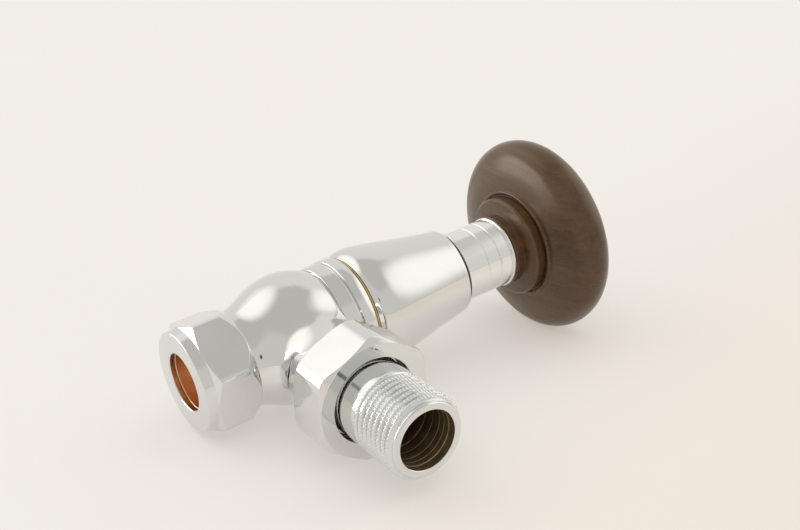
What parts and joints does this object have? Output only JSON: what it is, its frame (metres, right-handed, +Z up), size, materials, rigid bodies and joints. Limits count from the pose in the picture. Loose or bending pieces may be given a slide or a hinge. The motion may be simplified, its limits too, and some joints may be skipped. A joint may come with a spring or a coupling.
{
  "type": "radiator valve",
  "caption": "angled radiator valve with a turned handwheel, bell shroud, compression inlet and threaded union tail",
  "frame": {"origin": "centre of the footprint box, on the surface the valve lies on", "axes": "+Z is up from the surface; +X is the level direction of the spindle, from the pipe inlet to the handwheel; the outlet tail points along -Y"},
  "size_m": [0.1228, 0.0884, 0.0554],
  "materials": {
    "chrome_plate": "bright chrome plate on brass",
    "raw_brass": "machined, unplated",
    "copper": "bare copper, slightly dulled",
    "dark_wood": "turned hardwood, dark stain, satin lacquer",
    "seal_rubber": "black moulded rubber",
    "white_polymer": "white bearing and packing polymer",
    "steel": "plated steel"
  },
  "bodies": {
    "valve": {"valve_body": "chrome_plate", "headwork": "raw_brass", "headwork_o_ring": "seal_rubber", "gland_packing": "white_polymer", "gland_nut": "raw_brass", "thrust_washer": "white_polymer", "shroud": "chrome_plate"},
    "wheel": {"handwheel": "dark_wood", "wheel_bush": "raw_brass", "ferrule": "chrome_plate", "wheel_screw": "steel", "spring_washer": "steel", "screw_cap": "chrome_plate", "spindle": "raw_brass", "spindle_o_rings": "seal_rubber", "spindle_circlip": "steel"},
    "disc": {"disc_carrier": "raw_brass", "seat_washer": "seal_rubber", "seat_washer_screw": "steel"},
    "tail": {"tail_piece": "chrome_plate", "tail_o_ring": "seal_rubber"},
    "union": {"union_nut": "chrome_plate"},
    "pipe_ring": {"olive": "copper"},
    "inlet_nut": {"compression_nut": "chrome_plate"}
  },
  "joints": [
    {"name": "handwheel_turn", "type": "hinge", "parent": "valve", "child": "wheel", "pos_m": [0.03013, 0.01634, 0.02514], "axis": [0.9933, 0, 0.1155], "range_deg": [0, 900]},
    {"name": "disc_lift", "type": "slide", "parent": "valve", "child": "disc", "axis": [0.9933, 0, 0.1155], "range_m": [0, 0.00375]},
    {"name": "tail_withdraw", "type": "slide", "parent": "valve", "child": "tail", "axis": [0.0059, -0.9987, -0.0508], "range_m": [0, 0.00363]},
    {"name": "union_nut_turn", "type": "hinge", "parent": "tail", "child": "union", "pos_m": [-0.02927, -0.01562, 0.01659], "axis": [0.0059, -0.9987, -0.0508], "range_deg": [0, 720]},
    {"name": "olive_withdraw", "type": "slide", "parent": "valve", "child": "pipe_ring", "axis": [-0.9933, 0, -0.1155], "range_m": [0, 0.00363]},
    {"name": "compression_nut_turn", "type": "hinge", "parent": "pipe_ring", "child": "inlet_nut", "pos_m": [-0.05132, 0.01634, 0.01567], "axis": [-0.9933, 0, -0.1155], "range_deg": [0, 720]}
  ],
  "couplings": [
    {"joint": "handwheel_turn", "follows": "disc_lift", "rad_per_m": 4188.8},
    {"joint": "union_nut_turn", "follows": "tail_withdraw", "rad_per_m": 3463.7},
    {"joint": "compression_nut_turn", "follows": "olive_withdraw", "rad_per_m": 3463.7}
  ]
}
